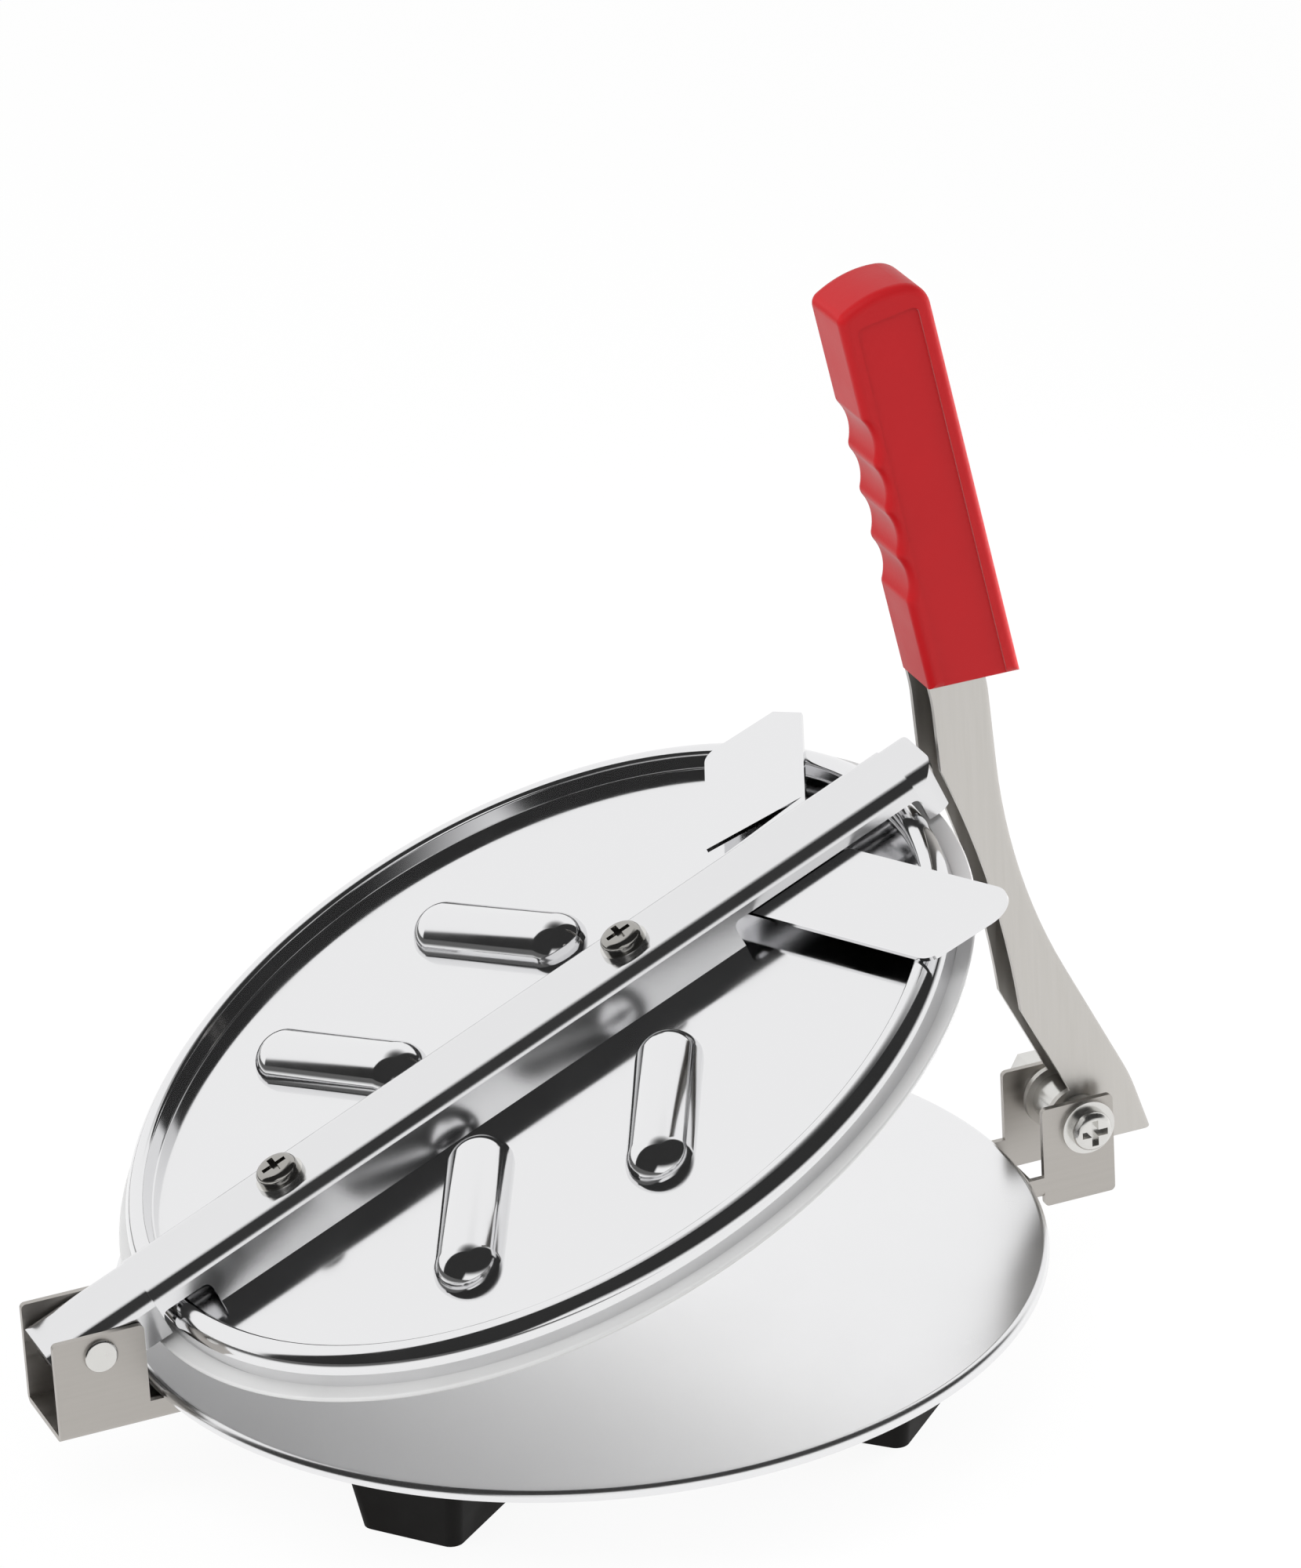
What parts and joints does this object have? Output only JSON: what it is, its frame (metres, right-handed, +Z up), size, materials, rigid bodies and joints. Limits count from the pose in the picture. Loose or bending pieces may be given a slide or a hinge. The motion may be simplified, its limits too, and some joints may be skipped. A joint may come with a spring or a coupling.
{
  "type": "hand-operated puri press",
  "caption": "Hand press that flattens dough balls: round base on feet, hinged round lid stiffened by a beam and a swept strip, and an upright lever with a moulded grip.",
  "frame": {"origin": "on the table, below the middle of the press's length and width", "axes": "+X from the lid's hinge to the lever, +Y to the back, +Z up"},
  "size_m": [0.2292, 0.18, 0.2127],
  "materials": {
    "polished_steel": "mirror-polished stainless sheet",
    "satin_steel": "satin pressed steel",
    "bright_fasteners": "bright zinc",
    "foot_rubber": "matt black",
    "grip_plastic": "semi-gloss red moulding"
  },
  "bodies": {
    "base": {"base_plate": "polished_steel", "base_channel": "satin_steel", "foot_front_left": "foot_rubber", "foot_front_right": "foot_rubber", "foot_rear_left": "foot_rubber", "foot_rear_right": "foot_rubber", "foot_studs": "bright_fasteners", "foot_washers": "bright_fasteners", "foot_nuts": "bright_fasteners", "hinge_pin": "bright_fasteners", "lever_bolt": "bright_fasteners", "lever_nut": "bright_fasteners", "lever_washers": "bright_fasteners", "lever_spacers": "bright_fasteners"},
    "lid": {"press_plate": "polished_steel", "lid_cover": "polished_steel", "lid_beam": "polished_steel", "lid_wing": "polished_steel", "lid_posts": "bright_fasteners", "lid_washers": "bright_fasteners", "lid_screws": "bright_fasteners"},
    "lever": {"lever_arm": "satin_steel", "lever_grip": "grip_plastic", "lever_bush": "bright_fasteners"}
  },
  "joints": [
    {"name": "lid_hinge", "type": "hinge", "parent": "base", "child": "lid", "pos_m": [-0.10507, 0, 0.0342], "axis": [0, -1, 0], "range_deg": [-23.6, 66.4]},
    {"name": "lever_pivot", "type": "hinge", "parent": "base", "child": "lever", "pos_m": [0.09873, 0, 0.0312], "axis": [0, 1, 0], "range_deg": [0, 60]}
  ]
}
